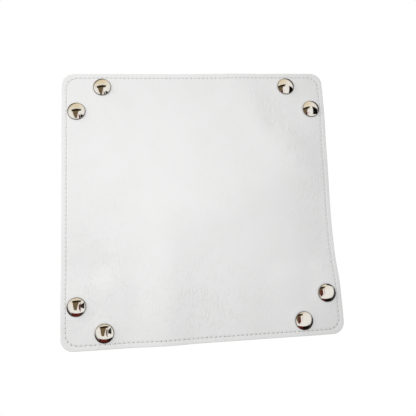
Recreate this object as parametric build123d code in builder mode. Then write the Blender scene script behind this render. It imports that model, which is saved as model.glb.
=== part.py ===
# Folding dice tray: a square of two stitched layers whose corners pinch together with press snaps.
#
# The tray is modelled lying flat, domed caps downwards, with its dice side up (+Z).
# The origin is the centre of the sheet, at the level of the lowest points of the caps.
# Four walls fold up along the sides of the base. At each corner the leather doubles up
# into an ear: a socket flap turns outwards on the side wall, and a stud flap folds over
# it about the diagonal crease until the stud clicks into the socket.
import os
from math import sqrt

from build123d import *

os.makedirs("parts", exist_ok=True)

# Driving dimensions, in mm
sheet_side = 230.0          # side of the square sheet
sheet_corner_radius = 10.0  # rounding of the sheet's four corners
skin_thickness = 1.3        # outer leather
lining_thickness = 1.1      # soft rolling surface
wall_height = 42.0          # from the base's fold lines to the edge of the sheet
open_crease_gap = 1.3       # slit between the stud flap and the wall beside it

snap_edge_inset = 12.5      # snap centre to the nearer edge of the sheet
snap_corner_inset = 34.0    # snap centre to the farther edge at the same corner
snap_closing_clearance = 0.2  # socket's top to the stud's flange when snapped shut

cap_diameter = 15.0
cap_height = 3.2            # leather to the top of the dome
cap_metal = 0.35
cap_edge_height = 1.2       # where the dome turns over into its rolled edge
cap_lip = 1.3               # width of the lip rolled in under the post's flange

post_bore_radius = 1.15     # tubular rivet post under each cap
post_wall = 0.4
post_flange_thickness = 0.35
post_flare_width = 0.4      # how far the clinched end spreads
post_flare_thickness = 0.3
post_clearance = 0.12       # round the post, in every layer that it goes through
crimp_clearance = 0.05      # between the metal pieces that are rolled over each other

socket_diameter = 12.0
socket_height = 3.2
socket_metal = 0.42
socket_mouth_radius = 3.7
socket_lip_depth = 0.55     # how far the mouth's rim is turned down
socket_shoulder = 0.9       # rounding of the housing's top edge

spring_wire_radius = 0.27
spring_leg_offset = 2.9     # each leg's distance from the socket's centre line
spring_bend_setback = 1.6   # centre of the bend, from the socket's centre
spring_leg_length = 2.5     # straight part past the socket's centre
spring_curl_radius = 0.9
spring_curl_angle = 65.0
spring_lip_clearance = 0.1  # wire below the turned-down mouth

stud_flange_diameter = 10.4
stud_flange_thickness = 0.5
stud_neck_radius = 2.55
stud_nub_radius = 3.1
stud_tip_radius = 2.65
stud_height = 2.8
stud_nub_height = 2.3       # level of the widest part of the nub
stud_neck_top = 1.75        # where the neck starts to widen into the nub
stud_flange_fillet = 0.25

# Levels of the flat tray
outer_face = cap_height
layer_face = outer_face + skin_thickness
inner_face = layer_face + lining_thickness
sheet_thickness = skin_thickness + lining_thickness

# Plan of the creases, as distances from the centre of the sheet
snap_stack = socket_height + stud_flange_thickness + snap_closing_clearance
edge = sheet_side / 2
fold = edge - wall_height
# A wall is shorter than the base's side by what the doubled corner takes up at 45 degrees
ear_root = fold - (sqrt(2) - 1) * sheet_thickness - snap_stack / sqrt(2)

post_outer_radius = post_bore_radius + post_wall
post_hole_radius = post_outer_radius + post_clearance
layers = {"skin": (outer_face, skin_thickness), "lining": (layer_face, lining_thickness)}
corners = {
    "front_left": (-1, -1),
    "front_right": (1, -1),
    "back_right": (1, 1),
    "back_left": (-1, 1),
}


def finish(part, name):
    """Labels a finished piece and writes its STEP file."""
    part.label = name
    export_step(part, f"parts/{name}.step")


def panel(outline, level, thickness, post_holes=()):
    """One layer of the sheet inside an outline of plan points, with holes for rivet posts."""
    with BuildPart() as layer:
        with BuildSketch(Plane.XY.offset(level)):
            RectangleRounded(sheet_side, sheet_side, sheet_corner_radius)
            with BuildLine():
                Polyline(*outline, close=True)
            make_face(mode=Mode.INTERSECT)
            if post_holes:
                with Locations(*post_holes):
                    Circle(post_hole_radius, mode=Mode.SUBTRACT)
        extrude(amount=thickness)
    return layer.part


def layered_panel(name, outline, post_holes=()):
    """Both layers of one panel of the sheet."""
    for layer_name, (level, thickness) in layers.items():
        finish(panel(outline, level, thickness, post_holes), f"{name}_{layer_name}")


def section_plane(station):
    """The plane that holds a round piece's half section: X outwards, Y along the station's axis."""
    return Plane(station.origin, x_dir=station.x_dir, z_dir=-station.y_dir)


def station_axis(station):
    return Axis(station.origin, station.z_dir)


def domed_cap(station):
    """Pressed dome whose edge is rolled in to grip the flange of the post under it."""
    radius = cap_diameter / 2
    roll = cap_edge_height / 2
    lip_radius = radius - roll - cap_lip
    shoulder = radius - roll / 2
    hollow_shoulder = shoulder - cap_metal / 2
    rise = cap_height - cap_edge_height
    dome_radius = (shoulder**2 + rise**2) / (2 * rise)
    hollow_radius = dome_radius - cap_metal
    dome_centre = cap_height - dome_radius
    hollow_edge = dome_centre + sqrt(hollow_radius**2 - hollow_shoulder**2)
    with BuildPart() as cap:
        with BuildSketch(section_plane(station)):
            with BuildLine():
                dome = RadiusArc((0, cap_height), (shoulder, cap_edge_height), dome_radius)
                edge_roll = ThreePointArc(dome @ 1, (radius, roll), (radius - roll, 0))
                Polyline(
                    edge_roll @ 1,
                    (lip_radius, 0),
                    (lip_radius, cap_metal),
                    (radius - roll, cap_metal),
                )
                ThreePointArc(
                    (radius - roll, cap_metal),
                    (radius - cap_metal, roll),
                    (hollow_shoulder, hollow_edge),
                )
                hollow = RadiusArc(
                    (hollow_shoulder, hollow_edge), (0, cap_height - cap_metal), -hollow_radius
                )
                Line(hollow @ 1, dome @ 0)
            make_face()
        revolve(axis=station_axis(station))
    return cap.part


def rivet_post(station, clinched_plate):
    """Tubular post: a flange held inside the cap, a tube through the sheet, a flared end."""
    flange_radius = cap_diameter / 2 - cap_edge_height / 2 - crimp_clearance
    flange_level = cap_metal + crimp_clearance
    dish_radius = flange_radius - cap_lip - cap_edge_height / 2
    plate_face = -sheet_thickness - clinched_plate - crimp_clearance
    flare_radius = post_outer_radius + post_flare_width
    with BuildPart() as post:
        with BuildSketch(section_plane(station)):
            with BuildLine():
                Polyline(
                    (post_bore_radius, post_flange_thickness),
                    (dish_radius - post_wall, post_flange_thickness),
                    (dish_radius, flange_level + post_flange_thickness),
                    (flange_radius, flange_level + post_flange_thickness),
                    (flange_radius, flange_level),
                    (dish_radius + post_wall, flange_level),
                    (dish_radius, 0),
                    (post_outer_radius, 0),
                    (post_outer_radius, plate_face),
                    (flare_radius, plate_face),
                )
                ThreePointArc(
                    (flare_radius, plate_face),
                    (flare_radius - post_flare_width / 4, plate_face - post_flare_thickness * 0.75),
                    (post_outer_radius, plate_face - post_flare_thickness),
                )
                Polyline(
                    (post_outer_radius, plate_face - post_flare_thickness),
                    (post_bore_radius, plate_face - post_flare_thickness),
                    (post_bore_radius, post_flange_thickness),
                )
            make_face()
        revolve(axis=station_axis(station))
    return post.part


def snap_socket(station):
    """Rolled housing: a base plate, a rounded wall and a mouth whose rim is turned down."""
    radius = socket_diameter / 2
    inner = radius - socket_metal
    ceiling = socket_height - socket_metal
    lip_bottom = socket_height - socket_lip_depth
    lip_outer = socket_mouth_radius + socket_metal
    with BuildPart() as socket:
        with BuildSketch(section_plane(station)):
            with BuildLine():
                Line((post_hole_radius, 0), (radius - socket_metal, 0))
                foot = RadiusArc((radius - socket_metal, 0), (radius, socket_metal), -socket_metal)
                side = Line(foot @ 1, (radius, socket_height - socket_shoulder))
                shoulder = RadiusArc(
                    side @ 1, (radius - socket_shoulder, socket_height), -socket_shoulder
                )
                top = Line(shoulder @ 1, (lip_outer, socket_height))
                mouth = RadiusArc(
                    top @ 1, (socket_mouth_radius, socket_height - socket_metal), -socket_metal
                )
                Polyline(
                    mouth @ 1,
                    (socket_mouth_radius, lip_bottom),
                    (lip_outer, lip_bottom),
                    (lip_outer, ceiling),
                    (radius - socket_shoulder, ceiling),
                    (inner, socket_height - socket_shoulder),
                    (inner, socket_metal),
                    (post_hole_radius, socket_metal),
                    (post_hole_radius, 0),
                )
            make_face()
        revolve(axis=station_axis(station))
    return socket.part


def socket_spring(station, legs_along):
    """Wire spring: two parallel legs joined by a bend, their free ends curled outwards."""
    wire_level = socket_height - socket_lip_depth - spring_lip_clearance - spring_wire_radius
    wire_plane = Plane(
        station.origin + station.z_dir * wire_level, x_dir=legs_along, z_dir=station.z_dir
    )
    with BuildPart() as spring:
        with BuildLine(wire_plane) as wire:
            back = -spring_bend_setback
            left_leg = Line((spring_leg_length, spring_leg_offset), (back, spring_leg_offset))
            bend = ThreePointArc(
                left_leg @ 1, (back - spring_leg_offset, 0), (back, -spring_leg_offset)
            )
            right_leg = Line(bend @ 1, (spring_leg_length, -spring_leg_offset))
            JernArc(right_leg @ 1, right_leg % 1, spring_curl_radius, -spring_curl_angle)
            JernArc(left_leg @ 0, -(left_leg % 0), spring_curl_radius, spring_curl_angle)
        path = wire.wires()[0]
        with BuildSketch(Plane(path @ 0, z_dir=path % 0)):
            Circle(spring_wire_radius)
        sweep(path=path)
    return spring.part


def snap_stud(station):
    """Flange, waisted neck and rounded nub, hollow for the clinched end of the post."""
    flange_radius = stud_flange_diameter / 2
    hollow_radius = post_outer_radius + post_flare_width + 2 * post_clearance
    flange_round = stud_flange_thickness / 2
    with BuildPart() as stud:
        with BuildSketch(section_plane(station)):
            with BuildLine():
                Line((post_hole_radius, 0), (flange_radius, 0))
                Line((flange_radius, 0), (flange_radius, flange_round))
                rim = RadiusArc(
                    (flange_radius, flange_round),
                    (flange_radius - flange_round, stud_flange_thickness),
                    -flange_round,
                )
                Line(rim @ 1, (stud_neck_radius + stud_flange_fillet, stud_flange_thickness))
                RadiusArc(
                    (stud_neck_radius + stud_flange_fillet, stud_flange_thickness),
                    (stud_neck_radius, stud_flange_thickness + stud_flange_fillet),
                    stud_flange_fillet,
                )
                neck = Line(
                    (stud_neck_radius, stud_flange_thickness + stud_flange_fillet),
                    (stud_neck_radius, stud_neck_top),
                )
                nub = Spline(
                    neck @ 1,
                    (stud_nub_radius, stud_nub_height),
                    (stud_tip_radius, stud_height),
                    tangents=[(0, 1), (-1, 0)],
                )
                Polyline(
                    nub @ 1,
                    (hollow_radius, stud_height),
                    (hollow_radius, stud_flange_thickness),
                    (post_hole_radius, stud_flange_thickness),
                    (post_hole_radius, 0),
                )
            make_face()
        revolve(axis=station_axis(station))
    return stud.part


def outer_station(x, y):
    """On the leather's outer face, with its axis pointing away from the sheet."""
    return Plane((x, y, outer_face), x_dir=(1, 0, 0), z_dir=(0, 0, -1))


def inner_station(x, y):
    """On the lining, with its axis pointing into the tray."""
    return Plane((x, y, inner_face), x_dir=(1, 0, 0), z_dir=(0, 0, 1))


# The base and the four walls
layered_panel("base", [(-fold, -fold), (fold, -fold), (fold, fold), (-fold, fold)])
wall_outlines = {
    "front_wall": [(-ear_root, -edge), (ear_root, -edge), (ear_root, -fold), (-ear_root, -fold)],
    "right_wall": [(fold, -ear_root), (edge, -ear_root), (edge, ear_root), (fold, ear_root)],
    "back_wall": [(-ear_root, fold), (ear_root, fold), (ear_root, edge), (-ear_root, edge)],
    "left_wall": [(-edge, -ear_root), (-fold, -ear_root), (-fold, ear_root), (-edge, ear_root)],
}
for wall_name, wall_outline in wall_outlines.items():
    layered_panel(wall_name, wall_outline)

# The four corners: a socket flap on the side wall, a stud flap folded over it
snap_far = edge - snap_edge_inset
snap_near = edge - snap_corner_inset
stud_flap_edge = ear_root + open_crease_gap
for corner_name, (side_x, side_y) in corners.items():
    socket_outline = [(fold, ear_root), (edge, ear_root), (edge, edge), (fold, fold)]
    stud_outline = [(stud_flap_edge, fold), (fold, fold), (edge, edge), (stud_flap_edge, edge)]
    socket_place = (side_x * snap_far, side_y * snap_near)
    stud_place = (side_x * snap_near, side_y * snap_far)
    layered_panel(
        f"{corner_name}_socket_flap",
        [(side_x * x, side_y * y) for x, y in socket_outline],
        [socket_place],
    )
    layered_panel(
        f"{corner_name}_stud_flap",
        [(side_x * x, side_y * y) for x, y in stud_outline],
        [stud_place],
    )
    finish(domed_cap(outer_station(*socket_place)), f"{corner_name}_socket_cap")
    finish(domed_cap(outer_station(*stud_place)), f"{corner_name}_stud_cap")
    finish(
        rivet_post(outer_station(*socket_place), socket_metal), f"{corner_name}_socket_post"
    )
    finish(
        rivet_post(outer_station(*stud_place), stud_flange_thickness), f"{corner_name}_stud_post"
    )
    finish(snap_socket(inner_station(*socket_place)), f"{corner_name}_socket")
    # The bend of the spring points away from the diagonal crease
    finish(
        socket_spring(inner_station(*socket_place), (-side_x, side_y, 0)),
        f"{corner_name}_socket_spring",
    )
    finish(snap_stud(inner_station(*stud_place)), f"{corner_name}_stud")
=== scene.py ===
import math

import bpy
import numpy as np
from mathutils import Euler, Matrix, Vector


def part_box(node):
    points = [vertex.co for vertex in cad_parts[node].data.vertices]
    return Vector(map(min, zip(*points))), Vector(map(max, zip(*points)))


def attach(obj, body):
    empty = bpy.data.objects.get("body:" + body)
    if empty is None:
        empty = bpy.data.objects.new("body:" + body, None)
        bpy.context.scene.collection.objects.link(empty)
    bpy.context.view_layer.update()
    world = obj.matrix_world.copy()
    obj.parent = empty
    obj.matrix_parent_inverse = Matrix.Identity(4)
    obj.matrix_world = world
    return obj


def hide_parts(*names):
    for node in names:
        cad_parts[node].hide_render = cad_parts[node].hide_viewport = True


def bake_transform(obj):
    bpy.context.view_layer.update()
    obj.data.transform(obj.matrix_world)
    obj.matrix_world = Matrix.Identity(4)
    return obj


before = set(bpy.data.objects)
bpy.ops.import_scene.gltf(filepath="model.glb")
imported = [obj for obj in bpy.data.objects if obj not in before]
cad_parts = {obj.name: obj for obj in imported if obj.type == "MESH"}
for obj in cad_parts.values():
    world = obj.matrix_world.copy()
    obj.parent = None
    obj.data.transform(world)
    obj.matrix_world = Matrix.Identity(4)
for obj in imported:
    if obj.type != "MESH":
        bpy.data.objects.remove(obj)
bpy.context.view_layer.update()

scene = bpy.context.scene
mm = 0.001

# Plan of the tray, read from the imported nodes
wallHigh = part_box("right_wall_skin")[1]
baseLow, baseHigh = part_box("base_skin")
capLow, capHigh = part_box("front_left_stud_cap")
plan = {
    "edge": wallHigh.x,         # centre to the edge of the sheet
    "fold": baseHigh.x,         # centre to a fold line
    "earRoot": wallHigh.y,      # where a side wall turns into its corner flap
    "outerFace": baseLow.z,
    "layerFace": baseHigh.z,
    "innerFace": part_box("base_lining")[1].z,
    "capRadius": (capHigh.x - capLow.x) / 2,
}
wallHeight = plan["edge"] - plan["fold"]

corners = {
    "front_left": (-1, -1),
    "front_right": (1, -1),
    "back_right": (1, 1),
    "back_left": (-1, 1),
}
sideWalls = {"left_wall": -1, "right_wall": 1}
endWalls = {"front_wall": -1, "back_wall": 1}


def middle(node):
    # Halfway between the lowest and the highest corner of a node
    low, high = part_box(node)
    return (low + high) / 2


snapCentres = np.array([
    middle(f"{corner}_{kind}_cap")[:2] for corner in corners for kind in ("socket", "stud")
])
# One corner's two snaps, moved to the quarter of the plan where x and y are positive
quarterSnaps = [(*np.abs(centre).tolist(), 0.0) for centre in snapCentres[:2]]


class Wire:
    # One output socket of a node; arithmetic on it adds Math nodes
    def __init__(self, shader, socket):
        self.shader = shader
        self.socket = socket

    def calc(self, operation, *values):
        return self.shader.add("ShaderNodeMath", {"operation": operation}, dict(enumerate(values)))

    def __add__(self, other):
        return self.calc("ADD", self, other)

    def __radd__(self, other):
        return self.calc("ADD", other, self)

    def __sub__(self, other):
        return self.calc("SUBTRACT", self, other)

    def __rsub__(self, other):
        return self.calc("SUBTRACT", other, self)

    def __mul__(self, other):
        return self.calc("MULTIPLY", self, other)

    def __abs__(self):
        return self.calc("ABSOLUTE", self)

    def cosine(self):
        return self.calc("COSINE", self)

    def least(self, other):
        return self.calc("MINIMUM", self, other)

    def most(self, other):
        return self.calc("MAXIMUM", self, other)

    def ramp(self, low, high):
        # 0 below low, 1 above high, eased between
        return self.shader.add(
            "ShaderNodeMapRange",
            {"interpolation_type": "SMOOTHSTEP"},
            {"Value": self, "From Min": low, "From Max": high},
        )


class Shader:
    # The node tree of a material or of the world
    def __init__(self, owner):
        owner.use_nodes = True
        self.tree = owner.node_tree
        self.tree.nodes.clear()

    def add(self, kind, settings=None, values=None, output=0):
        # Any node: its type, its settings, then the values or links of its sockets
        node = self.tree.nodes.new(kind)
        for key, value in (settings or {}).items():
            setattr(node, key, value)
        for key, value in (values or {}).items():
            if isinstance(value, Wire):
                self.tree.links.new(value.socket, node.inputs[key])
            else:
                node.inputs[key].default_value = value
        return Wire(self, node.outputs[output]) if node.outputs else node

    def coordinates(self):
        return self.add("ShaderNodeTexCoord", output="Object")

    def attribute(self, name, output="Fac"):
        return self.add("ShaderNodeAttribute", {"attribute_name": name}, output=output)

    def noise(self, where, scale, detail=2.0, roughness=0.5, output="Fac"):
        values = {"Vector": where, "Scale": scale, "Detail": detail, "Roughness": roughness}
        return self.add("ShaderNodeTexNoise", values=values, output=output)

    def voronoi(self, where, scale, feature):
        return self.add(
            "ShaderNodeTexVoronoi", {"feature": feature}, {"Vector": where, "Scale": scale}
        )

    def mix(self, factor, first, second):
        # Sockets 0, 6 and 7 are the factor and the two colours, and output 2 is the colour
        return self.add(
            "ShaderNodeMix", {"data_type": "RGBA"}, {0: factor, 6: first, 7: second}, output=2
        )

    def vector(self, operation, *values, output="Vector"):
        settings = {"operation": operation}
        return self.add("ShaderNodeVectorMath", settings, dict(enumerate(values)), output)

    def stretched(self, where, scale):
        return self.vector("MULTIPLY", where, scale)

    def warp(self, where, scale, amount):
        # Moves a coordinate by a colour noise, centred on zero
        cloud = self.noise(where, scale, output="Color")
        centred = self.vector("SUBTRACT", cloud, (0.5, 0.5, 0.5))
        return self.vector("ADD", where, self.stretched(centred, (amount,) * 3))

    def bump(self, height, distance):
        return self.add("ShaderNodeBump", values={"Height": height, "Distance": distance})

    def surface(self, values):
        body = self.add("ShaderNodeBsdfPrincipled", values=values)
        self.add("ShaderNodeOutputMaterial", values={"Surface": body})


def linear(red, green, blue):
    # Screen colour, 0 to 255, to the linear values that a shader takes
    share = np.array([red, green, blue]) / 255
    lin = np.where(share <= 0.04045, share / 12.92, ((share + 0.055) / 1.055) ** 2.4)
    return (*lin.tolist(), 1.0)


def newShader(name):
    # A material and its empty node tree
    material = bpy.data.materials.new(name)
    return material, Shader(material)


# A noise is its cells in a metre, detail and roughness; a warp its cells in a metre and how far
# it moves a point; a ramp its start and end; a shade the share of the darker colour
leatherLook = {
    "colour": linear(238, 238, 238),
    "patchColour": linear(229, 228, 226),
    # Darker colour of the painted shade in creases, along the seam and between its puckers
    "grooveShadeColour": linear(216, 215, 213),
    # Painted contact shadow round each cap
    "capShadowColour": linear(150, 147, 143),
    "roughness": 0.46,
    "refraction": 1.46,
    "coat": 0.06,
    "coatRoughness": 0.3,
    "pebble": 1.2 * mm,        # across a pebble
    "pebbleWarp": (260, 0.9 * mm),
    "pebbleRoughness": 0.1,
    "pebbleHeight": -0.8,      # share of the grain; a cell is lowest at its middle
    "poreNoise": (3200,),
    "poreHeight": 0.2,
    "grainDepth": 0.07 * mm,
    "patchNoise": (35, 3),
    "patchRamp": (0.35, 0.75),
    "patchShade": 0.2,
    "patchGloss": 0.05,
    "wrinkle": 2.6 * mm,       # between two wrinkles
    "wrinkleRun": 0.32,        # they run three times as long
    "wrinkleWidth": 0.17,      # share of a cell
    "wrinkleWarp": (150, 2.5 * mm),
    "breakNoise": (130,),
    "breakRamp": (0.38, 0.58),
    "wrinkleShade": 0.16,
    "wrinkleDepth": 0.1 * mm,
    "seamShade": 0.15,
    "puckerShade": 0.2,
    "puckerDepth": 0.09 * mm,
    "capShadowRamp": (-0.2 * mm, 0.5 * mm),  # outwards from the cap's edge
    "capShadowShade": 0.6,
}


def creaseLines(s, where):
    # Fine winding creases, longer up and down than across: one less the distance to the edges
    # of stretched cells, times a noise that breaks them up
    look = leatherLook
    across = 1 / look["wrinkle"]
    bent = s.warp(where, *look["wrinkleWarp"])
    cells = s.stretched(bent, (across, look["wrinkleRun"] * across, across))
    edges = 1 - s.voronoi(cells, 1, "DISTANCE_TO_EDGE").ramp(0.0, look["wrinkleWidth"])
    return edges * s.noise(where, *look["breakNoise"]).ramp(*look["breakRamp"])


def snapReach(s, where):
    # Distance from the nearest snap's middle; one quarter of the plan stands for all four
    quarter = s.vector("ABSOLUTE", s.stretched(where, (1, 1, 0)))
    first, second = (s.vector("DISTANCE", quarter, snap, output="Value") for snap in quarterSnaps)
    return first.least(second)


def whiteLeather():
    # Pebbled white face with cloudy patches, handling creases and a puckered seam, with painted
    # shade in the creases, along the seam and between its puckers, and a painted shadow ring round
    # each cap.
    # It lies on the flat sheet, as the attribute planPlace gives it, and folds with it
    look = leatherLook
    material, s = newShader("whiteLeather")
    where = s.attribute("planPlace", "Vector")
    bent = s.warp(where, *look["pebbleWarp"])
    pebbles = s.voronoi(bent, 1 / look["pebble"], "SMOOTH_F1")
    pores = s.noise(where, *look["poreNoise"])
    wrinkles = creaseLines(s, where) * s.attribute("creasing")
    patches = s.noise(where, *look["patchNoise"]).ramp(*look["patchRamp"])
    nearSeam = s.attribute("seamNearness")
    pucker = s.attribute("seamPhase").cosine() * nearSeam
    seamShade = nearSeam * look["seamShade"] + pucker * look["puckerShade"]
    # Painted shadow: a dark ring on the leather just outside each cap's edge
    ring = 1 - (snapReach(s, where) - plan["capRadius"]).ramp(*look["capShadowRamp"])
    colour = s.mix(patches * look["patchShade"], look["colour"], look["patchColour"])
    # Painted shade in the creases
    colour = s.mix(wrinkles * look["wrinkleShade"], colour, look["grooveShadeColour"])
    # Painted shade along the seam, deeper between its puckers
    colour = s.mix(seamShade, colour, look["grooveShadeColour"])
    colour = s.mix(ring * look["capShadowShade"], colour, look["capShadowColour"])
    gloss = pebbles * look["pebbleRoughness"] - patches * look["patchGloss"]
    grain = (pebbles * look["pebbleHeight"] + pores * look["poreHeight"]) * look["grainDepth"]
    folds = wrinkles * look["wrinkleDepth"] + pucker * look["puckerDepth"]
    s.surface({
        "Base Color": colour,
        "Roughness": look["roughness"] + gloss,
        "Normal": s.bump((grain - folds) * (1 / mm), mm),
        "IOR": look["refraction"],
        "Coat Weight": look["coat"],
        "Coat Roughness": look["coatRoughness"],
    })
    return material


cutEdgeLook = {
    "colour": linear(232, 231, 228),
    "darkFibre": linear(214, 212, 208),
    "fibreNoise": (2600, 4, 0.7),
    "fibreRamp": (0.3, 0.8),
    "fibreDepth": 0.06 * mm,
    "fibreGloss": 0.1,
    "roughness": 0.75,
}


def cutEdge():
    # The bare edge of the leather: fibres seen end on, a little greyer than the face
    look = cutEdgeLook
    material, s = newShader("leatherCutEdge")
    fibres = s.noise(s.coordinates(), *look["fibreNoise"])
    s.surface({
        "Base Color": s.mix(fibres.ramp(*look["fibreRamp"]), look["darkFibre"], look["colour"]),
        "Roughness": look["roughness"] - fibres * look["fibreGloss"],
        "Normal": s.bump(fibres, look["fibreDepth"]),
    })
    return material


liningLook = {
    "colour": linear(205, 205, 206),
    "napColour": linear(190, 190, 192),
    "fuzzNoise": (2400, 3, 0.7),
    "fuzzShade": 0.2,
    "fuzzHeight": 0.4,         # share of the nap
    "fuzzRoughness": 0.08,
    "tuft": 0.9 * mm,          # across a tuft
    "tuftRun": 0.33,           # tufts lie three times as long
    "tuftWarp": (120, 2 * mm),
    "tuftNoise": (1, 4, 0.65),          # in cells of a tuft
    "tuftRamp": (0.3, 0.7),
    "tuftShade": 0.5,
    "strokeNoise": (26, 3, 0.55),
    "strokeWarp": (30, 20 * mm),
    "strokeRamp": (0.35, 0.7),
    "strokeShade": 0.35,
    "nap": 0.09 * mm,
    "roughness": 0.88,
    "sheen": 0.35,
    "sheenRoughness": 0.45,
}


def softLining():
    # Short brushed nap: fine speckle, with broad patches brushed one way or the other
    look = liningLook
    material, s = newShader("softLining")
    where = s.attribute("planPlace", "Vector")
    fuzz = s.noise(where, *look["fuzzNoise"])
    across = 1 / look["tuft"]
    lay = s.warp(where, *look["tuftWarp"])
    lay = s.stretched(lay, (across, look["tuftRun"] * across, 1))
    tufts = s.noise(lay, *look["tuftNoise"])
    brushed = s.noise(s.warp(where, *look["strokeWarp"]), *look["strokeNoise"])
    strokes = brushed.ramp(*look["strokeRamp"]) * look["strokeShade"]
    shade = strokes + tufts.ramp(*look["tuftRamp"]) * look["tuftShade"] + fuzz * look["fuzzShade"]
    s.surface({
        "Base Color": s.mix(shade, look["colour"], look["napColour"]),
        "Roughness": look["roughness"] + fuzz * look["fuzzRoughness"],
        "Normal": s.bump(fuzz * look["fuzzHeight"] + tufts, look["nap"]),
        "Sheen Weight": look["sheen"],
        "Sheen Roughness": look["sheenRoughness"],
    })
    return material


metalLooks = {
    "capChrome": {
        "tint": (232, 228, 220),
        # Painted shade on the cap's rolled edge
        "rolledShadeTint": (90, 80, 70),
        "roughness": 0.07,
        "cloudRoughness": 0.05,
        "scratch": 0.004 * mm,
    },
    "snapNickel": {
        "tint": (205, 201, 193),
        "roughness": 0.16,
        "cloudRoughness": 0.12,
        "scratch": 0.01 * mm,
    },
    "postSteel": {
        "tint": (196, 194, 190),
        "roughness": 0.22,
        "cloudRoughness": 0.15,
        "scratch": 0.012 * mm,
    },
    "springWire": {
        "tint": (188, 187, 185),
        "roughness": 0.2,
        "cloudRoughness": 0.1,
        "scratch": 0.01 * mm,
    },
}
platingLook = {
    "cloudNoise": (320, 3),
    "cloudRamp": (0.35, 0.75),
    "cloudedTint": 0.93,       # how much of the tint a cloudy patch keeps
    "cloudShade": 0.35,
    "roughRamp": (0.4, 0.8),
    "rubNoise": (2600,),
    "rubWarp": (900, 2 * mm),
    "rolledShadeRamp": (-0.75 * mm, -0.25 * mm),   # outwards from the cap's edge
    "rolledShadeShare": 0.65,
}


def plated(name):
    # Plated metal: fine rubbing marks and faint cloudy patches in the shine, and on a cap a
    # dull brown line of painted shade where its edge is rolled over
    look = platingLook | metalLooks[name]
    material, s = newShader(name)
    where = s.coordinates()
    cloud = s.noise(where, *look["cloudNoise"])
    rub = s.noise(s.warp(where, *look["rubWarp"]), *look["rubNoise"])
    clouded = linear(*[tone * look["cloudedTint"] for tone in look["tint"]])
    shade = cloud.ramp(*look["cloudRamp"]) * look["cloudShade"]
    colour = s.mix(shade, linear(*look["tint"]), clouded)
    # Painted shade along a cap's rolled edge
    if "rolledShadeTint" in look:
        rolled = (snapReach(s, where) - plan["capRadius"]).ramp(*look["rolledShadeRamp"])
        colour = s.mix(rolled * look["rolledShadeShare"], colour, linear(*look["rolledShadeTint"]))
    s.surface({
        "Base Color": colour,
        "Metallic": 1.0,
        "Roughness": look["roughness"] + cloud.ramp(*look["roughRamp"]) * look["cloudRoughness"],
        "Normal": s.bump(rub, look["scratch"]),
    })
    return material


threadLook = {
    "colour": linear(238, 238, 237),
    "shade": linear(214, 214, 214),
    "ply": 0.55 * mm,
    "plyDepth": 0.05 * mm,
    "plyWander": 1.2,
    "roughness": 0.62,
}


def sewingThread():
    # Twisted plies: slanting bands of painted shade, lighter where a ply stands up
    look = threadLook
    material, s = newShader("sewingThread")
    ply = s.add(
        "ShaderNodeTexWave",
        {"bands_direction": "DIAGONAL"},
        {
            "Vector": s.coordinates(),
            "Scale": 0.3 / look["ply"],    # at scale 1, bands are about a third of a metre apart
            "Distortion": look["plyWander"],
        },
    )
    s.surface({
        "Base Color": s.mix(ply, look["shade"], look["colour"]),
        "Roughness": look["roughness"],
        "Normal": s.bump(ply, look["plyDepth"]),
    })
    return material


holeShadowLook = {
    "colour": linear(58, 56, 54),
    "fibreColour": linear(104, 101, 98),
    "fibreNoise": (3000,),
    "roughness": 0.9,
}


def needleHoleShadow():
    # Painted shadow in a needle hole: dark speckle, as shadow among fibres
    look = holeShadowLook
    material, s = newShader("needleHoleShadow")
    fibres = s.noise(s.coordinates(), *look["fibreNoise"])
    s.surface({
        "Base Color": s.mix(fibres, look["colour"], look["fibreColour"]),
        "Roughness": look["roughness"],
    })
    return material


leather, edgeFinish, lining = whiteLeather(), cutEdge(), softLining()
thread, hole = sewingThread(), needleHoleShadow()
print("finishes made")


# The sheet as heights over a plan
sheetLook = {
    "cornerRadius": 10 * mm,
    "seamInset": 4 * mm,
    "seamDepth": 0.28 * mm,
    "seamWidth": 0.8 * mm,
    "liningSeam": 0.8,        # share of the seam's depth that shows on the lining
    "rimRound": 0.62 * mm,
    "liningRimRound": 0.35 * mm,
    "foldBand": 3 * mm,       # half the width over which a wall's fold is spread
    "rootBand": 2 * mm,       # the same for the bend at the root of a corner flap
    "creaseBand": 2.5 * mm,   # the same for the diagonal crease
    "puff": 0.22 * mm,        # leather pushed up round a cap
    "puffPlace": 1.2 * mm,    # its ridge, outside the cap
    "puffWidth": 2.2 * mm,
    "puffSink": 0.4,          # share of it that the leather sinks under the cap
    "puffEdge": (-3 * mm, 0.5 * mm),    # from the cap's edge: sunk before, risen after
    "liningPuff": 0.3,        # share of it that shows on the lining
    # The sheet is as flat as its plan within the first distance, and free from the second
    "flatAtSnap": (8 * mm, 34 * mm),
    "flatAtCorner": (5 * mm, 26 * mm),
    "unpulledAtSnap": (8 * mm, 20 * mm),
    "wallStep": 2.2 * mm,
    "flapColumns": 52,
    "flapCrowding": 1.5,      # draws a stud flap's columns towards the crease
    "sharpAngle": 40,         # degrees; a steeper edge isn't shaded smooth
}
# Slow waves of the leather: centre x, y, spread along and across, turn, height away from the floor
waves = [
    (118, 20, 23, 50, 0, 3.8),      # long side lifted at its middle
    (-32, 90, 14, 46, 4, -3.4),     # long ridge
    (12, 96, 34, 44, 0, -1.2),      # falling slowly on its right
    (28, -2, 58, 17, -19, -1.9),    # ridge that runs on to the right
    (-86, 54, 17, 24, 0, 2.4),
    (72, -58, 50, 12, 55, -2.2),    # bend across the front right corner
    (0, 20, 90, 90, 0, 1.6),        # keeps the ridges off the floor
]
# The same for how much handling has creased the leather
creases = [
    (-2, 84, 34, 26, 0, 1.15),
    (-86, 66, 19, 40, 0, 1.0),
    (60, -84, 34, 9, 46, 0.7),      # along the bend
    (85, -36, 34, 9, 80, 0.8),
    (104, 44, 8, 40, 0, 0.7),
    (34, -2, 34, 8, 0, 0.4),
]
leastCreasing = 0.12
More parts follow.
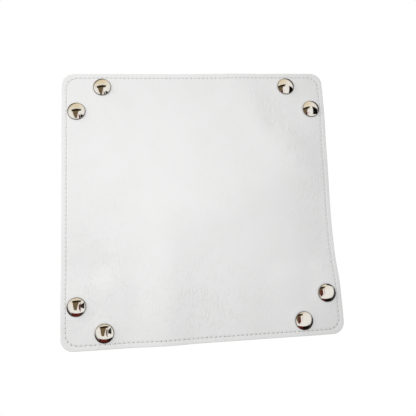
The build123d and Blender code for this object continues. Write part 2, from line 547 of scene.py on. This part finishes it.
# How far the edge is drawn in or out at the right: the same again, in millimetres
pulls = [
    (115, 10, 22, 38, 0, -0.9),
    (115, 112, 30, 30, 0, 0.7),
]
# How hard the thread was pulled, which sets how strong the painted seam shade is and how wide
# the needle holes' painted shadows are: at the middle, and what is added towards the back, at both
# ends and on the right
threadPull = {"middle": 0.74, "back": 0.08, "ends": 0.34, "right": -0.16}


def snapDistance(x, y):
    # Distance to the nearest snap's middle
    gaps = np.hypot(x[..., None] - snapCentres[:, 0], y[..., None] - snapCentres[:, 1])
    return gaps.min(axis=-1)


def eased(value, low, high):
    # 0 below low, 1 above high, and three squares less two cubes of the share between
    share = np.clip((value - low) / (high - low), 0, 1)
    return share * share * (3 - 2 * share)


def turnedSwells(x, y, swells):
    # Sum of turned Gaussian swells
    total = np.zeros_like(x)
    for centreX, centreY, spreadX, spreadY, turn, height in swells:
        cosine, sine = math.cos(math.radians(turn)), math.sin(math.radians(turn))
        dx, dy = x / mm - centreX, y / mm - centreY
        along, across = dx * cosine + dy * sine, dy * cosine - dx * sine
        total += height * np.exp(-0.5 * ((along / spreadX) ** 2 + (across / spreadY) ** 2))
    return total


def sheetRise(x, y):
    # The waves, faded to nothing round each snap and at the base's corners, so that the snaps
    # sit flat and the ears fold true
    toCorner = np.hypot(np.abs(x) - plan["fold"], np.abs(y) - plan["fold"])
    free = eased(snapDistance(x, y), *sheetLook["flatAtSnap"])
    return turnedSwells(x, y, waves) * mm * free * eased(toCorner, *sheetLook["flatAtCorner"])


def pulled(x, y):
    # Plan position after the edge is drawn sideways by the pulls, none near the snaps
    free = eased(snapDistance(x, y), *sheetLook["unpulledAtSnap"])
    return x + free * turnedSwells(x, y, pulls) * mm, y


def roundedRim(inset, radius):
    # Quarter circle that drops the face by the radius at the very edge
    short = np.clip(radius - inset, 0, radius)
    return radius - np.sqrt(radius**2 - short**2)


def seamNearness(inset):
    # Gaussian across the seam, 1 on it
    return np.exp(-(((inset - sheetLook["seamInset"]) / sheetLook["seamWidth"]) ** 2))


def seamPull(x, y):
    # Straight in y for the back, its fourth power for the ends, and straight in x, fading
    # towards the ends, for the right
    across, along = x / plan["edge"], y / plan["edge"]
    pull = threadPull["middle"] + threadPull["back"] * along + threadPull["ends"] * along**4
    return pull + threadPull["right"] * across * (1 - along**2)


def snapPuff(x, y):
    # A low ring pushed up just outside each cap, and the leather pressed in beneath it
    look = sheetLook
    gap = snapDistance(x, y) - plan["capRadius"]
    ring = np.exp(-(((gap - look["puffPlace"]) / look["puffWidth"]) ** 2))
    under = 1 - eased(gap, *look["puffEdge"])
    return look["puff"] * (ring * (1 - under) - look["puffSink"] * under)


def layerHeights(x, y, inset, layer):
    # Lower and upper face over a plan point: the flat face, plus the waves, the pressed seam,
    # the rounded rim and the puff at a cap
    look = sheetLook
    rise = sheetRise(x, y)
    join = plan["layerFace"] + rise
    press = look["seamDepth"] * seamNearness(inset)
    puff = snapPuff(x, y)
    if layer == "skin":
        lower = plan["outerFace"] + rise + press + roundedRim(inset, look["rimRound"]) - puff
        return lower, join
    upper = plan["innerFace"] + rise - look["liningSeam"] * press
    return join, upper - roundedRim(inset, look["liningRimRound"]) + look["liningPuff"] * puff


def turnRadius(inset):
    # The corner's radius, which shrinks to nothing on the way in from the edge to the fold
    return sheetLook["cornerRadius"] * np.maximum(1 - inset / wallHeight, 0)


def cornerPath(inset, along, start):
    # Up the side from y = start, round a quarter turn, and back along the end of the sheet
    half, radius = plan["edge"] - inset, turnRadius(inset)
    run = half - radius - start
    turn = np.clip((along - run) / np.maximum(radius, 1e-9), 0, math.pi / 2)
    back = np.maximum(along - run - radius * math.pi / 2, 0)
    x = half - radius + radius * np.cos(turn) - back
    y = start + np.minimum(along, run) + radius * np.sin(turn)
    return x, y


creaseOffset = sheetLook["creaseBand"] * math.sqrt(2)


def creaseAlong(inset, start):
    # Distance along a corner path to the line where the socket flap's piece ends, which is the
    # diagonal moved sideways by the crease's band
    half, radius = plan["edge"] - inset, turnRadius(inset)
    straight = half - creaseOffset - start
    sine = creaseOffset / np.maximum(radius * math.sqrt(2), 1e-9)
    lean = np.arcsin(np.clip(sine, 0, math.sqrt(0.5)))
    turned = half - radius - start + radius * (math.pi / 4 - lean)
    return np.where(radius > creaseOffset, turned, straight)


def insetRows(depth):
    # Close together at the rounded rim and across the seam, then a millimetre apart
    rim = [0, 0.03, 0.1, 0.2, 0.34, 0.5, 0.7, 1.1, 1.7, 2.3, 2.7, 3.05, 3.35]
    seamBed = [3.6, 3.8, 4, 4.2, 4.4, 4.65, 4.95, 5.3, 5.8, 6.4, 7.2]
    fine = np.array(rim + seamBed) * mm
    rest = np.linspace(fine[-1], depth, 1 + round((depth - fine[-1]) / mm))[1:]
    return np.concatenate([fine, rest])


def slab(x, y, inset, layer, keep=None):
    # Closed layer over a plan grid: the lower and upper heights as two grids, and side walls
    # where a kept cell has no neighbour; the walls along row 0 are the rim
    lower, upper = layerHeights(x, y, inset, layer)
    drawnX, drawnY = pulled(x, y)
    count = x.size
    points = np.concatenate([
        np.stack([drawnX, drawnY, height], -1).reshape(-1, 3) for height in (lower, upper)
    ])
    index = np.arange(count).reshape(x.shape)
    a, b, c, d = index[:-1, :-1], index[1:, :-1], index[1:, 1:], index[:-1, 1:]
    keep = np.ones(a.shape, bool) if keep is None else keep
    top = np.stack([a, b, c, d], -1)[keep] + count
    under = np.stack([d, c, b, a], -1)[keep]
    around = np.pad(keep, 1)
    walls, rims = [], []
    for first, second, beside in (
        (a, b, around[1:-1, :-2]),
        (b, c, around[2:, 1:-1]),
        (c, d, around[1:-1, 2:]),
        (d, a, around[:-2, 1:-1]),
    ):
        bare = keep & ~beside
        p, q = first[bare], second[bare]
        walls.append(np.stack([q + count, p + count, p, q], -1))
        rims.append(np.full(len(p), first is d))
    faces = np.concatenate([top, under, *walls])
    rim = np.concatenate([np.zeros(len(top) + len(under), bool), *rims])
    # The first cell's cross product tells a grid that was mirrored
    rowX, rowY = x[1, 0] - x[0, 0], y[1, 0] - y[0, 0]
    columnX, columnY = x[0, 1] - x[0, 0], y[0, 1] - y[0, 0]
    if rowX * columnY < rowY * columnX:
        faces = faces[:, ::-1]
    used = np.unique(faces)
    place = np.zeros(len(points), int)
    place[used] = np.arange(len(used))
    return points[used], place[faces], rim, used % count


def meshPiece(name, points, faces, finishes, slots, sharpAngle):
    # faces is a list of arrays, with the same number of corners in each; slots has one finish
    # number for a face
    mesh = bpy.data.meshes.new(name)
    mesh.from_pydata(points.tolist(), [], [face for group in faces for face in group.tolist()])
    for finish in finishes:
        mesh.materials.append(finish)
    mesh.polygons.foreach_set("material_index", slots.astype(np.int32))
    mesh.polygons.foreach_set("use_smooth", np.ones(len(mesh.polygons), bool))
    mesh.set_sharp_from_angle(angle=math.radians(sharpAngle))
    mesh.update()
    piece = bpy.data.objects.new(name, mesh)
    scene.collection.objects.link(piece)
    return piece


def surfaceMarks(x, y, inset, phase):
    # What the leather's finish needs at each plan point: the seam, the place in a stitch, and
    # how creased it is
    return {
        "seamNearness": seamNearness(inset) * seamPull(x, y),
        "seamPhase": phase,
        "creasing": leastCreasing + turnedSwells(x, y, creases),
    }


def layerPiece(panel, layer, x, y, inset, phase, keep=None, extra=None):
    # The slab of one panel with its finishes and attributes; extra is more points and faces,
    # which have no marks
    points, faces, rim, used = slab(x, y, inset, layer, keep)
    marks = {key: value.ravel()[used] for key, value in surfaceMarks(x, y, inset, phase).items()}
    if extra is not None:
        extraPoints, extraFaces = extra
        faces = np.concatenate([faces, extraFaces + len(points)])
        points = np.concatenate([points, extraPoints])
        rim = np.concatenate([rim, np.zeros(len(extraFaces), bool)])
        none = np.zeros(len(extraPoints))
        marks = {key: np.concatenate([value, none]) for key, value in marks.items()}
    face, slot = (leather, "white_leather") if layer == "skin" else (lining, "lining_suede")
    name, finishes = f"{panel}_{layer}_sheet", [face, edgeFinish]
    piece = meshPiece(name, points, [faces], finishes, rim, sheetLook["sharpAngle"])
    for key, value in marks.items():
        attribute = piece.data.attributes.new(key, "FLOAT", "POINT")
        attribute.data.foreach_set("value", value.astype(np.float32))
    attribute = piece.data.attributes.new("planPlace", "FLOAT_VECTOR", "POINT")
    attribute.data.foreach_set("vector", points.astype(np.float32).ravel())
    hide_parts(f"{panel}_{layer}")
    return piece


stitchLook = {
    "endWallStitches": 19,    # from the middle of an end wall to its corner
    "sideStitches": 40,       # from the middle of a side wall round the corner
    "radius": 0.27 * mm,
    "proud": 0.35,            # how far a stitch's middle stands out, in radii
    "gap": 0.95 * mm,         # bare needle hole between two stitches
    "dip": 0.42 * mm,         # how far a stitch's ends go into the leather
    "rings": 7,
    "sides": 6,
    "endShare": 0.98,         # where the last ring is; a stitch would close at 1
    # The painted shadow in each needle hole: a dark lens
    "holeRadius": 0.36 * mm,
    "holeWidths": (0.9, 1.0, 0.55),                      # of its three rings, in radii
    "holeLifts": (-0.08 * mm, 0.015 * mm, 0.05 * mm),    # and their heights
    "holeSides": 8,
    "sharpAngle": 60,
}

startY = plan["earRoot"] - sheetLook["rootBand"]
endHalf = plan["earRoot"]    # an end wall and its corner flaps part here
baseHalf = plan["fold"] - sheetLook["foldBand"]
foldRows = insetRows(wallHeight)
wallRows = np.append(foldRows, wallHeight + np.array([1, 2, 3]) / 3 * sheetLook["foldBand"])


def spread(half):
    # Even steps from -half to half
    return np.linspace(-half, half, 1 + 2 * round(half / sheetLook["wallStep"]))


sideSpread, endSpread = spread(startY), spread(endHalf)


def quarterLength(inset):
    # From the middle of a side wall, round the corner, to the end wall's own part
    half, radius = plan["edge"] - inset, turnRadius(inset)
    return (half - radius) + radius * math.pi / 2 + (half - radius - endHalf)


def wallGrid(across, length, stitches):
    # A straight wall at the right; the phase turns once for each stitch
    inset, along = np.meshgrid(wallRows, across, indexing="ij")
    return plan["edge"] - inset, along, inset, 2 * math.pi * stitches * np.abs(along) / length


def flapGrid(kind):
    # A flap at the back right: each row follows the corner path, the socket flap up to the
    # crease and the stud flap from there on
    share = np.linspace(0, 1, sheetLook["flapColumns"])
    inset, share = np.meshgrid(foldRows, share, indexing="ij")
    crease = creaseAlong(inset, startY)
    quarter = quarterLength(inset)
    if kind == "socket_flap":
        along = crease * share
    else:
        along = crease + (quarter - startY - crease) * share ** sheetLook["flapCrowding"]
    x, y = cornerPath(inset, along, startY)
    phase = 2 * math.pi * stitchLook["sideStitches"] * (startY + along) / quarter
    return x, y, inset, phase


def mirrored(grid, sideX, sideY):
    x, y, inset, phase = grid
    return x * sideX, y * sideY, inset, phase


def swapped(grid):
    # A wall at the right becomes a wall at the back
    x, y, inset, phase = grid
    return y, x, inset, phase


knuckleLook = {
    "thinner": 0.2 * mm,      # than the sheet
    "overrun": 2 * mm,        # along the folds beside the corner
    "tuck": 0.05 * mm,        # its centre below the lining's face
    "firstAngle": 0.06,       # radians below level
    "inside": mm,             # where it closes, back from the fold
    "aroundSteps": 7,
    "turnSteps": 7,
}


def knuckles():
    # Rounded leather under the fold at each base corner: a quarter circle about the lining's
    # edge, carried along the corner, closed back through its middle and lifted with the sheet
    look = knuckleLook
    fold, inner, steps = plan["fold"], plan["innerFace"], look["turnSteps"]
    radius = inner - plan["outerFace"] - look["thinner"]
    angles = np.linspace(look["firstAngle"], math.pi / 2, look["aroundSteps"])
    turn = np.pad(np.linspace(0, math.pi / 2, steps), 2, mode="edge")
    stay = np.full(steps + 2, fold)
    fromX = np.concatenate([stay, [fold - look["overrun"], endHalf]])
    fromY = np.concatenate([[startY, fold - look["overrun"]], stay])
    out = np.append(radius * np.cos(angles), -look["inside"])
    down = np.append(look["tuck"] + radius * np.sin(angles), radius / 2)
    plainX = fromX[:, None] + np.cos(turn)[:, None] * out
    plainY = fromY[:, None] + np.sin(turn)[:, None] * out
    allPoints, allFaces, start = [], [], 0
    for sideX, sideY in corners.values():
        x, y = plainX * sideX, plainY * sideY
        z = inner - down + sheetRise(x, y)
        loop = np.stack([*pulled(x, y), z], -1)
        rows, columns = x.shape
        i, j = np.meshgrid(np.arange(rows - 1), np.arange(columns), indexing="ij")
        k = (j + 1) % columns
        quads = np.stack([
            i * columns + j, (i + 1) * columns + j, (i + 1) * columns + k, i * columns + k
        ], -1).reshape(-1, 4)
        if sideX * sideY < 0:
            quads = quads[:, ::-1]
        allPoints.append(loop.reshape(-1, 3))
        allFaces.append(quads + start)
        start += rows * columns
    return np.concatenate(allPoints), np.concatenate(allFaces)


# Plan grid and flat size of each panel
seamAt = np.array(sheetLook["seamInset"])
sideGrid = wallGrid(sideSpread, quarterLength(seamAt), stitchLook["sideStitches"])
endGrid = swapped(wallGrid(endSpread, endHalf, stitchLook["endWallStitches"]))
panels = {}
for name, side in sideWalls.items():
    panels[name] = mirrored(sideGrid, side, 1), (wallRows[-1], 2 * startY)
for name, side in endWalls.items():
    panels[name] = mirrored(endGrid, 1, side), (2 * endHalf, wallRows[-1])
for corner, signs in corners.items():
    for kind in ("socket_flap", "stud_flap"):
        flat = wallHeight, plan["edge"] - startY
        panels[f"{corner}_{kind}"] = mirrored(flapGrid(kind), *signs), flat


def planArea(x, y):
    # Sum of the grid cells' areas, half the cross product of their diagonals
    ax, ay = x[1:, 1:] - x[:-1, :-1], y[1:, 1:] - y[:-1, :-1]
    bx, by = x[1:, :-1] - x[:-1, 1:], y[1:, :-1] - y[:-1, 1:]
    return float(np.abs(ax * by - ay * bx).sum() / 2)


for panel, (grid, flat) in panels.items():
    area = planArea(*grid[:2])
    for layer in ("skin", "lining"):
        piece = layerPiece(panel, layer, *grid)
        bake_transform(piece)

# The base: a square between the fold bands, with a tab at each corner up to the fold lines
ends = [baseHalf, plan["fold"]]
lineX, lineY = (
    np.concatenate([np.negative(ends[::-1]), inside, ends]) for inside in (endSpread, sideSpread)
)
gridX, gridY = np.meshgrid(lineX, lineY, indexing="ij")
cellX = np.abs(lineX[:-1] + lineX[1:])[:, None] / 2
cellY = np.abs(lineY[:-1] + lineY[1:])[None] / 2
kept = (cellX < baseHalf) & (cellY < baseHalf)
kept |= (cellX > baseHalf) & (cellY > startY)
kept |= (cellX > endHalf) & (cellY > baseHalf)
farIn = np.full(gridX.shape, wallHeight)
for layer, extra in (("skin", knuckles()), ("lining", None)):
    piece = layerPiece("base", layer, gridX, gridY, farIn, 0 * farIn, kept, extra)
    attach(piece, "base")
print("sheets made", len(panels) + 1)


def seamPoints():
    # Needle holes along the seam of one quarter, as the first and last hole of each stitch,
    # by the panel that holds the stitch's middle
    look = stitchLook
    along = np.linspace(0, quarterLength(seamAt), look["sideStitches"] + 1)
    side = np.stack(cornerPath(seamAt, along, 0.0), -1)
    step = np.linspace(0, endHalf, look["endWallStitches"] + 1)
    end = np.stack([step, np.full(len(step), plan["edge"] - seamAt)], -1)
    centre = (side[:-1] + side[1:]) / 2
    onWall = centre[:, 1] < startY
    onSocket = ~onWall & (centre[:, 1] - centre[:, 0] < -creaseOffset)
    parts = {"side": onWall, "socket_flap": onSocket, "stud_flap": ~onWall & ~onSocket}
    stitches = {part: (side[:-1][mask], side[1:][mask]) for part, mask in parts.items()}
    return stitches | {"end": (end[:-1], end[1:])}


def onFace(point, face):
    # The seam's place in space over plan points, face -1 outside and +1 inside, from the
    # layer heights
    x, y = point[..., 0], point[..., 1]
    inset = np.full(x.shape, sheetLook["seamInset"])
    if face < 0:
        z = layerHeights(x, y, inset, "skin")[0]
    else:
        z = layerHeights(x, y, inset, "lining")[1]
    return np.stack([*pulled(x, y), z], -1)


def threadShells(first, last, face):
    # A stitch: a round thread along t from -1 to 1, its middle proud of the seam by a third of
    # its radius, its ends dipping as t to the fourth, and its radius closing as the root of one
    # less t to the sixth
    look = stitchLook
    a, b = onFace(first, face), onFace(last, face)
    axis = b - a
    length = np.linalg.norm(axis, axis=1, keepdims=True)
    axis = axis / length
    up = np.array([0, 0, float(face)])
    across = np.cross(axis, up)
    t = np.linspace(-look["endShare"], look["endShare"], look["rings"])
    turn = np.linspace(0, 2 * math.pi, look["sides"], endpoint=False)
    swell = look["radius"] * np.sqrt(1 - t**6)
    lift = look["radius"] * look["proud"] - look["dip"] * t**4
    reach = (length[:, 0] - look["gap"]) / 2
    centre = (a + b)[:, None] / 2 + axis[:, None] * (reach[:, None] * t)[..., None]
    centre = centre + up * lift[None, :, None]
    ringUp = (swell[:, None] * np.sin(turn))[None, ..., None] * up
    ringAcross = (swell[:, None] * np.cos(turn))[None, ..., None] * across[:, None, None]
    return centre[:, :, None] + ringUp + ringAcross


def holeShells(point, face):
    # A needle hole's painted shadow: a dark lens of three rings just proud of the bottom of the
    # seam, wider where the thread was pulled harder
    look = stitchLook
    centre = onFace(point, face)
    turn = np.linspace(0, 2 * math.pi, look["holeSides"], endpoint=False)
    width = np.array(look["holeWidths"]) * look["holeRadius"]
    x = width[:, None] * np.cos(turn)
    y = width[:, None] * np.sin(turn)
    z = np.broadcast_to(np.array(look["holeLifts"])[:, None] * face, x.shape)
    pull = seamPull(point[:, 0], point[:, 1])[:, None, None, None] * (1, 1, 0) + (0, 0, 1)
    return centre[:, None, None] + np.stack([x, y, z], -1)[None] * pull


def tubeFaces(count, rings, sides, start):
    # Quads round each shell and a cap at either end
    base = start + np.arange(count)[:, None, None] * rings * sides
    i, j = np.meshgrid(np.arange(rings - 1), np.arange(sides), indexing="ij")
    k = (j + 1) % sides
    quads = np.stack([i * sides + j, i * sides + k, (i + 1) * sides + k, (i + 1) * sides + j], -1)
    quads = (base[..., None] + quads).reshape(-1, 4)
    low = base[:, 0] + np.arange(sides)[::-1]
    high = base[:, 0] + (rings - 1) * sides + np.arange(sides)
    return quads, low, high


def stitching(panel, first, last, extraHole=None):
    # Threads and the needle holes' painted shadows on both faces of one panel
    points, faces, slots, start = [], [], [], 0
    holes = last if extraHole is None else np.concatenate([extraHole, last])
    for face in (-1, 1):
        for shells, slot in ((threadShells(first, last, face), 0), (holeShells(holes, face), 1)):
            count, rings, sides = shells.shape[:3]
            groups = tubeFaces(count, rings, sides, start)
            flat = shells.reshape(-1, 3)
            # Outward is judged on the first shell: away from its own middle
            one = flat[: rings * sides]
            quad = one[groups[0][0] - start]
            normal = np.cross(quad[1] - quad[0], quad[2] - quad[1])
            if normal @ (quad.mean(0) - one.mean(0)) < 0:
                groups = [group[:, ::-1] for group in groups]
            points.append(flat)
            start += len(flat)
            faces.extend(groups)
            slots.extend(np.full(len(group), slot) for group in groups)
    piece = meshPiece(
        f"{panel}_stitching", np.concatenate(points), faces, [thread, hole],
        np.concatenate(slots), stitchLook["sharpAngle"],
    )
    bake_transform(piece)


seam = seamPoints()
for name, side in sideWalls.items():
    first, last = (np.concatenate([part * (side, s) for s in (-1, 1)]) for part in seam["side"])
    stitching(name, first, last, seam["side"][0][:1] * (side, 1))
for name, side in endWalls.items():
    first, last = (np.concatenate([part * (s, side) for s in (-1, 1)]) for part in seam["end"])
    stitching(name, first, last, seam["end"][0][:1] * (1, side))
for corner, signs in corners.items():
    for kind in ("socket_flap", "stud_flap"):
        first, last = seam[kind]
        stitching(f"{corner}_{kind}", first * signs, last * signs)
print("stitching made")


# Metal parts keep their nodes and get their finish
metals = {
    "_cap": "capChrome",
    "_post": "postSteel",
    "_socket": "snapNickel",
    "_stud": "snapNickel",
    "_spring": "springWire",
}
finishes = {name: plated(name) for name in metalLooks}
for name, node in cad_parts.items():
    for ending, metal in metals.items():
        if name.endswith(ending):
            for slot in node.material_slots:
                slot.material = finishes[metal]
print("metal finished")


def stagePlane(name, centre, normal, width, height, finish, taper=1.0):
    # A flat card about a centre, its height along y; the far end is narrower by the taper
    across = Vector((0, 1, 0)).cross(Vector(normal)) * (width / 2)
    upward = Vector((0, height / 2, 0))
    outline = [
        Vector(centre) + across * share + upward * end
        for share, end in ((-1, -1), (1, -1), (taper, 1), (-taper, 1))
    ]
    mesh = bpy.data.meshes.new(name)
    mesh.from_pydata(outline, [], [(0, 1, 2, 3)])
    mesh.materials.append(finish)
    plane = bpy.data.objects.new(name, mesh)
    scene.collection.objects.link(plane)
    return plane


floorLook = {
    "colour": linear(236, 236, 236),
    "size": 12,
}


def floorFinish():
    # Pale floor, seen from above only; from below, and to light, it isn't there
    material, s = newShader("paleFloor")
    fromBelow = s.add("ShaderNodeNewGeometry", output="Backfacing")
    seen = s.add("ShaderNodeLightPath", output="Is Camera Ray") * (1 - fromBelow)
    clear = s.add("ShaderNodeBsdfTransparent")
    matt = s.add("ShaderNodeBsdfDiffuse", values={"Color": floorLook["colour"]})
    both = s.add("ShaderNodeMixShader", values={0: seen, 1: clear, 2: matt})
    s.add("ShaderNodeOutputMaterial", values={"Surface": both})
    return material


def cardFinish(name, colour):
    # An even glow, so that a card shows its colour in the metal
    material, s = newShader(name)
    glow = s.add("ShaderNodeEmission", values={"Color": colour, "Strength": 1.0})
    s.add("ShaderNodeOutputMaterial", values={"Surface": glow})
    return material


stagePlane("floor", (0, 0, 0), (0, 0, 1), floorLook["size"], floorLook["size"], floorFinish())

# Cards below the tray that only the metal sees, as a room would show in it
cards = {
    # centre, normal, width, height, colour, taper
    "shelfCard": ((-0.28, -0.40, -0.70), (0, 0, 1), 1.10, 0.24, linear(46, 34, 18), 0.7),
    "standCard": ((-0.30, 0.01, -0.702), (0, 0, 1), 0.62, 0.78, linear(122, 104, 76), 0.35),
    "tripodCard": ((0.085, 0.065, -0.36), (-1, 0, 0), 0.33, 0.19, linear(46, 44, 42), 1.0),
    "postCard": ((-0.03, 0.115, -0.40), (1, 0, 0), 0.40, 0.25, linear(104, 46, 38), 1.0),
    "blackCard": ((0.242, -0.086, -0.09), (0, 0, 1), 0.19, 0.112, linear(10, 9, 9), 0.9),
    "tableCard": ((-0.42, 1.22, -0.70), (0, 0, 1), 1.15, 0.90, linear(98, 34, 28), 1.0),
    "chairCard": ((0.65, 1.22, -0.70), (0, 0, 1), 1.00, 0.90, linear(20, 14, 14), 1.0),
}
for name, (centre, normal, width, height, colour, taper) in cards.items():
    card = stagePlane(name, centre, normal, width, height, cardFinish(name, colour), taper)
    card.visible_camera = False
    card.visible_diffuse = False
    card.visible_transmission = False
    card.visible_shadow = False

lamps = {
    # place, watts, size
    "nearLamp": ((-0.081, -0.040, -0.316), 0.5, 0.15),
    "sideLamp": ((-1.27, -0.52, -0.57), 6.0, 0.6),
    "topLamp": ((-0.6, -0.75, 1.1), 14.5, 0.9),
}


def areaLight(name, place, watts, size):
    # A square lamp turned to the tray's middle, which the metal doesn't mirror
    light = bpy.data.lights.new(name, "AREA")
    light.energy = watts
    light.size = size
    lamp = bpy.data.objects.new(name, light)
    scene.collection.objects.link(lamp)
    lamp.location = place
    lamp.rotation_mode = "QUATERNION"
    lamp.rotation_quaternion = (-Vector(place)).to_track_quat("-Z", "Y")
    lamp.visible_camera = False
    lamp.visible_glossy = False


for name, (place, watts, size) in lamps.items():
    areaLight(name, place, watts, size)

roomLook = {
    "white": linear(255, 255, 255),
    "cream": linear(240, 226, 194),
    "dark": linear(38, 32, 29),
    "rightRamp": (-0.1, 0.6),
    "rightFade": 0.7,          # how much of the cream is lost on the right
    "horizon": (0.24, 0.5),    # dark up to the first height, and none from the second
    "horizonTip": 0.2,         # how much the dark is tipped towards the back
    "ambient": 0.47,           # strength as light; it is 1 where it is seen
}


def studioRoom(world):
    # What the metal shows: a white room, cream towards the front and less so on the right, dark
    # at the horizon and darker higher up at the back
    look = roomLook
    s = Shader(world)
    direct, glossy, through = (
        s.add("ShaderNodeLightPath", output=f"Is {kind} Ray")
        for kind in ("Camera", "Glossy", "Transmission")
    )
    bright = direct.most(glossy).most(through)
    heading = s.add("ShaderNodeTexCoord", output="Generated")
    side, back, height = (
        s.add("ShaderNodeSeparateXYZ", values={0: heading}, output=axis) for axis in "XYZ"
    )
    front = back * -1
    cream = front.ramp(0.0, 1.0) * (1 - side.ramp(*look["rightRamp"]) * look["rightFade"])
    room = s.mix(cream, look["white"], look["cream"])
    low = 1 - (abs(height) + front * look["horizonTip"]).ramp(*look["horizon"])
    room = s.mix(low, room, look["dark"])
    sky = s.add("ShaderNodeBackground", values={
        "Color": s.mix(glossy, look["white"], room),
        "Strength": bright * (1 - look["ambient"]) + look["ambient"],
    })
    s.add("ShaderNodeOutputWorld", values={"Surface": sky})


scene.world = bpy.data.worlds.new("studio")
studioRoom(scene.world)

cameraLook = {
    "place": (-24.54 * mm, 48.74 * mm, -310.61 * mm),
    "turn": (-171.955, 5.104, 2.709),    # degrees
    "lens": 32.6,
}
cameraData = bpy.data.cameras.new("camera")
cameraData.lens = cameraLook["lens"]
cameraData.clip_start = 10 * mm
camera = bpy.data.objects.new("camera", cameraData)
scene.collection.objects.link(camera)
turn = Euler([math.radians(angle) for angle in cameraLook["turn"]])
camera.matrix_world = Matrix.Translation(cameraLook["place"]) @ turn.to_matrix().to_4x4()
scene.camera = camera
scene.view_settings.view_transform = "Standard"
print("stage and camera set")
